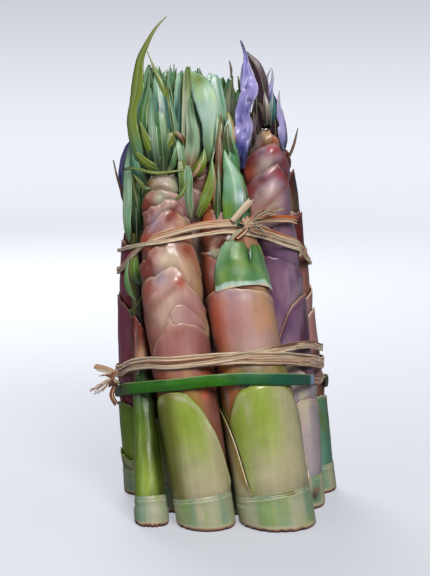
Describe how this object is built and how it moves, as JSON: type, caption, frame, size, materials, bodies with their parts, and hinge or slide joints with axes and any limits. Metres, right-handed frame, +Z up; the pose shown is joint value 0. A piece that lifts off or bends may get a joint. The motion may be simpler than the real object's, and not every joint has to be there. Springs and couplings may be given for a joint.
{
  "type": "bundle of bamboo shoots",
  "caption": "Tied bundle of slender bamboo shoots standing on its cut ends, with overlapping sheaths, leafy tips and plant-fibre ties.",
  "frame": {"origin": "middle of the bundle's box, on the surface that the cut ends stand on", "axes": "+Z up along the shoots, -Y the front with the thickest shoots"},
  "size_m": [0.1464, 0.1142, 0.2803],
  "materials": {
    "culm": "fresh cut culm, pale green and waxy",
    "sheath_pink": "fresh sheath, pink to cream and green at the foot, satin",
    "sheath_green": "fresh sheath, olive green, satin",
    "sheath_purple": "fresh sheath, mauve to purple, satin",
    "leaf_green": "leafy blade, green with a blue cast, satin",
    "leaf_mint": "leafy blade, pale mint green, glossy",
    "leaf_violet": "leafy blade, lavender and dark violet",
    "raffia": "dry raffia fibre, matt",
    "green_strip": "split bamboo strip, dark green"
  },
  "bodies": {
    "root": {"front_left_culm": "culm", "front_left_sheaths": "sheath_pink", "front_left_tuft": "leaf_green", "front_right_culm": "culm", "front_right_sheaths": "sheath_pink", "front_right_tuft": "leaf_mint", "right_side_culm": "culm", "right_side_sheaths": "sheath_purple", "right_side_tuft": "leaf_violet", "thin_left_culm": "culm", "thin_left_sheaths": "sheath_green", "thin_left_tuft": "leaf_green", "middle_culm": "culm", "middle_sheaths": "sheath_pink", "middle_tuft": "leaf_mint", "inner_left_culm": "culm", "inner_left_sheaths": "sheath_green", "inner_left_tuft": "leaf_green", "back_left_culm": "culm", "back_left_sheaths": "sheath_purple", "back_left_tuft": "leaf_violet", "back_right_culm": "culm", "back_right_sheaths": "sheath_purple", "back_right_tuft": "leaf_violet", "rear_left_culm": "culm", "rear_left_sheaths": "sheath_pink", "rear_left_tuft": "leaf_green", "rear_right_culm": "culm", "rear_right_sheaths": "sheath_green", "rear_right_tuft": "leaf_green", "front_right_green_leaf": "leaf_green", "front_left_side_leaf": "leaf_green", "right_side_tall_leaf": "leaf_violet", "lower_raffia_tie": "raffia", "green_strip_tie": "green_strip", "green_strip_binding": "raffia", "upper_raffia_tie": "raffia"}
  },
  "joints": []
}
